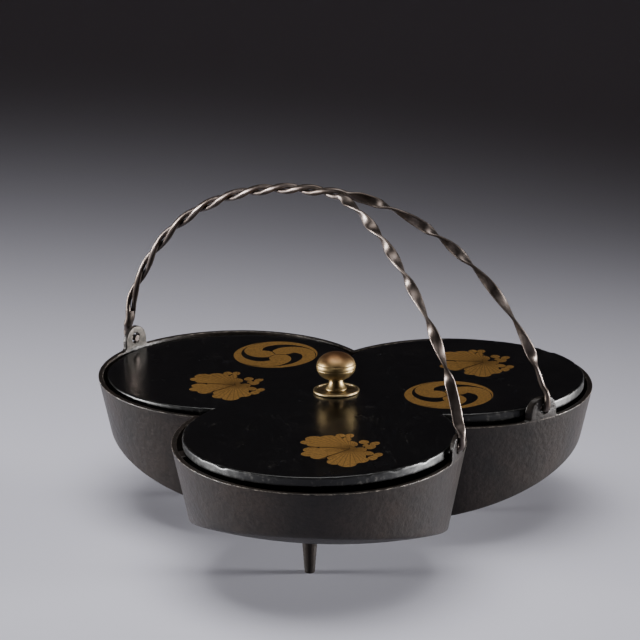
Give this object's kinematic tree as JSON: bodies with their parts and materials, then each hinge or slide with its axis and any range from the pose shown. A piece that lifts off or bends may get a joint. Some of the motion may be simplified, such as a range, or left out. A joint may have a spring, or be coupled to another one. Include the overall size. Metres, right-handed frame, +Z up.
{
  "type": "covered vessel",
  "caption": "Low cast-iron vessel of overlapping round lobes on peg feet, with a black lacquered lid, a brass knob and a twisted iron handle arching over it.",
  "frame": {"origin": "on the table, under the middle of the object's outline; the undersides of the feet are at z = 0", "axes": "+Z up; +Y from the front lobe towards the rear lobe, the longest extent; -X towards the lobe with the single ear"},
  "size_m": [0.2892, 0.2998, 0.2081],
  "materials": {
    "vessel": "fine-pitted satin, dark grey-brown",
    "lid": "glossy black lacquer with painted gold ornament",
    "knob_rose": "darkened, rim worn bright",
    "knob": "polished, aged",
    "handle": "forged iron, rubbed satin"
  },
  "bodies": {
    "root": {"vessel": "vessel", "lid": "lid", "knob_rose": "knob_rose", "knob": "knob", "handle": "handle"}
  },
  "joints": []
}
